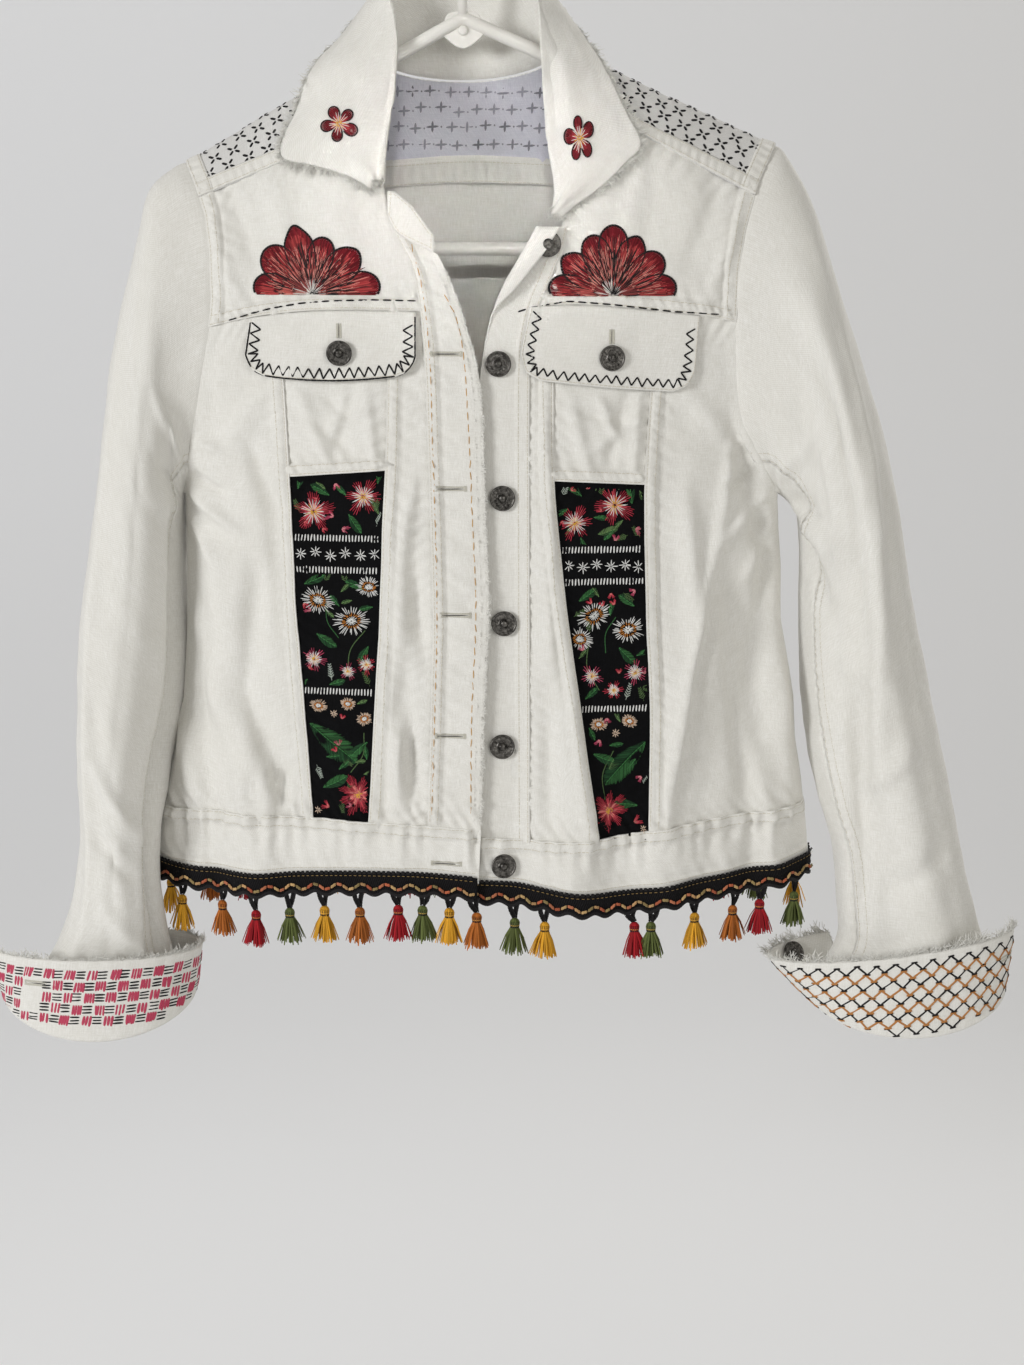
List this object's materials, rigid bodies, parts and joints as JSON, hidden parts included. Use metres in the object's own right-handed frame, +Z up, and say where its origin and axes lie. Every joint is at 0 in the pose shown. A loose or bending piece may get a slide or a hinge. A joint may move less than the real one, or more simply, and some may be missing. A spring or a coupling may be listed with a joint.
{
  "type": "denim jacket on a hanger",
  "caption": "Cropped unbuttoned denim jacket with pocket flaps, embroidered panels, tasselled hem trim and turned-up cuffs, held by a hanger over a rail.",
  "frame": {"origin": "Bearing point at the inner top of the hanger's hook, where it lies on a rail.", "axes": "+Z up, the jacket's front faces -Y, +X to the right of someone who looks at the front."},
  "size_m": [0.7429, 0.1585, 0.8011],
  "materials": {
    "denim": "off-white twill, washed",
    "yoke_cloth": "pale grey-white cloth with small black cross stitches",
    "insert_cloth": "black cloth with embroidered flowers",
    "trim_cord": "black braid with coloured tassels",
    "button_metal": "dark antique pewter",
    "hanger_plastic": "white moulded plastic"
  },
  "bodies": {
    "root": {"yoke": "yoke_cloth", "collar": "denim", "neck_tab": "denim", "chest_left": "denim", "side_left": "denim", "pocket_left": "denim", "insert_left": "insert_cloth", "inner_left": "denim", "placket_left": "denim", "waistband_left": "denim", "flap_left": "denim", "trim_left": "trim_cord", "chest_right": "denim", "side_right": "denim", "pocket_right": "denim", "insert_right": "insert_cloth", "inner_right": "denim", "placket_right": "denim", "waistband_right": "denim", "flap_right": "denim", "trim_right": "trim_cord", "back_centre": "denim", "back_side_left": "denim", "back_side_right": "denim", "waistband_back": "denim", "trim_back": "trim_cord", "sleeve_front_left": "denim", "sleeve_back_left": "denim", "sleeve_front_low_left": "denim", "sleeve_back_low_left": "denim", "sleeve_under_left": "denim", "cuff_left": "denim", "sleeve_upper_right": "denim", "sleeve_under_right": "denim", "cuff_right": "denim", "button_1": "button_metal", "button_2": "button_metal", "button_3": "button_metal", "button_4": "button_metal", "button_5": "button_metal", "button_flap_left": "button_metal", "button_flap_right": "button_metal", "button_cuff_left": "button_metal", "button_cuff_right": "button_metal", "button_neck": "button_metal", "button_neck_rivet": "button_metal", "hanger": "hanger_plastic"}
  },
  "joints": []
}
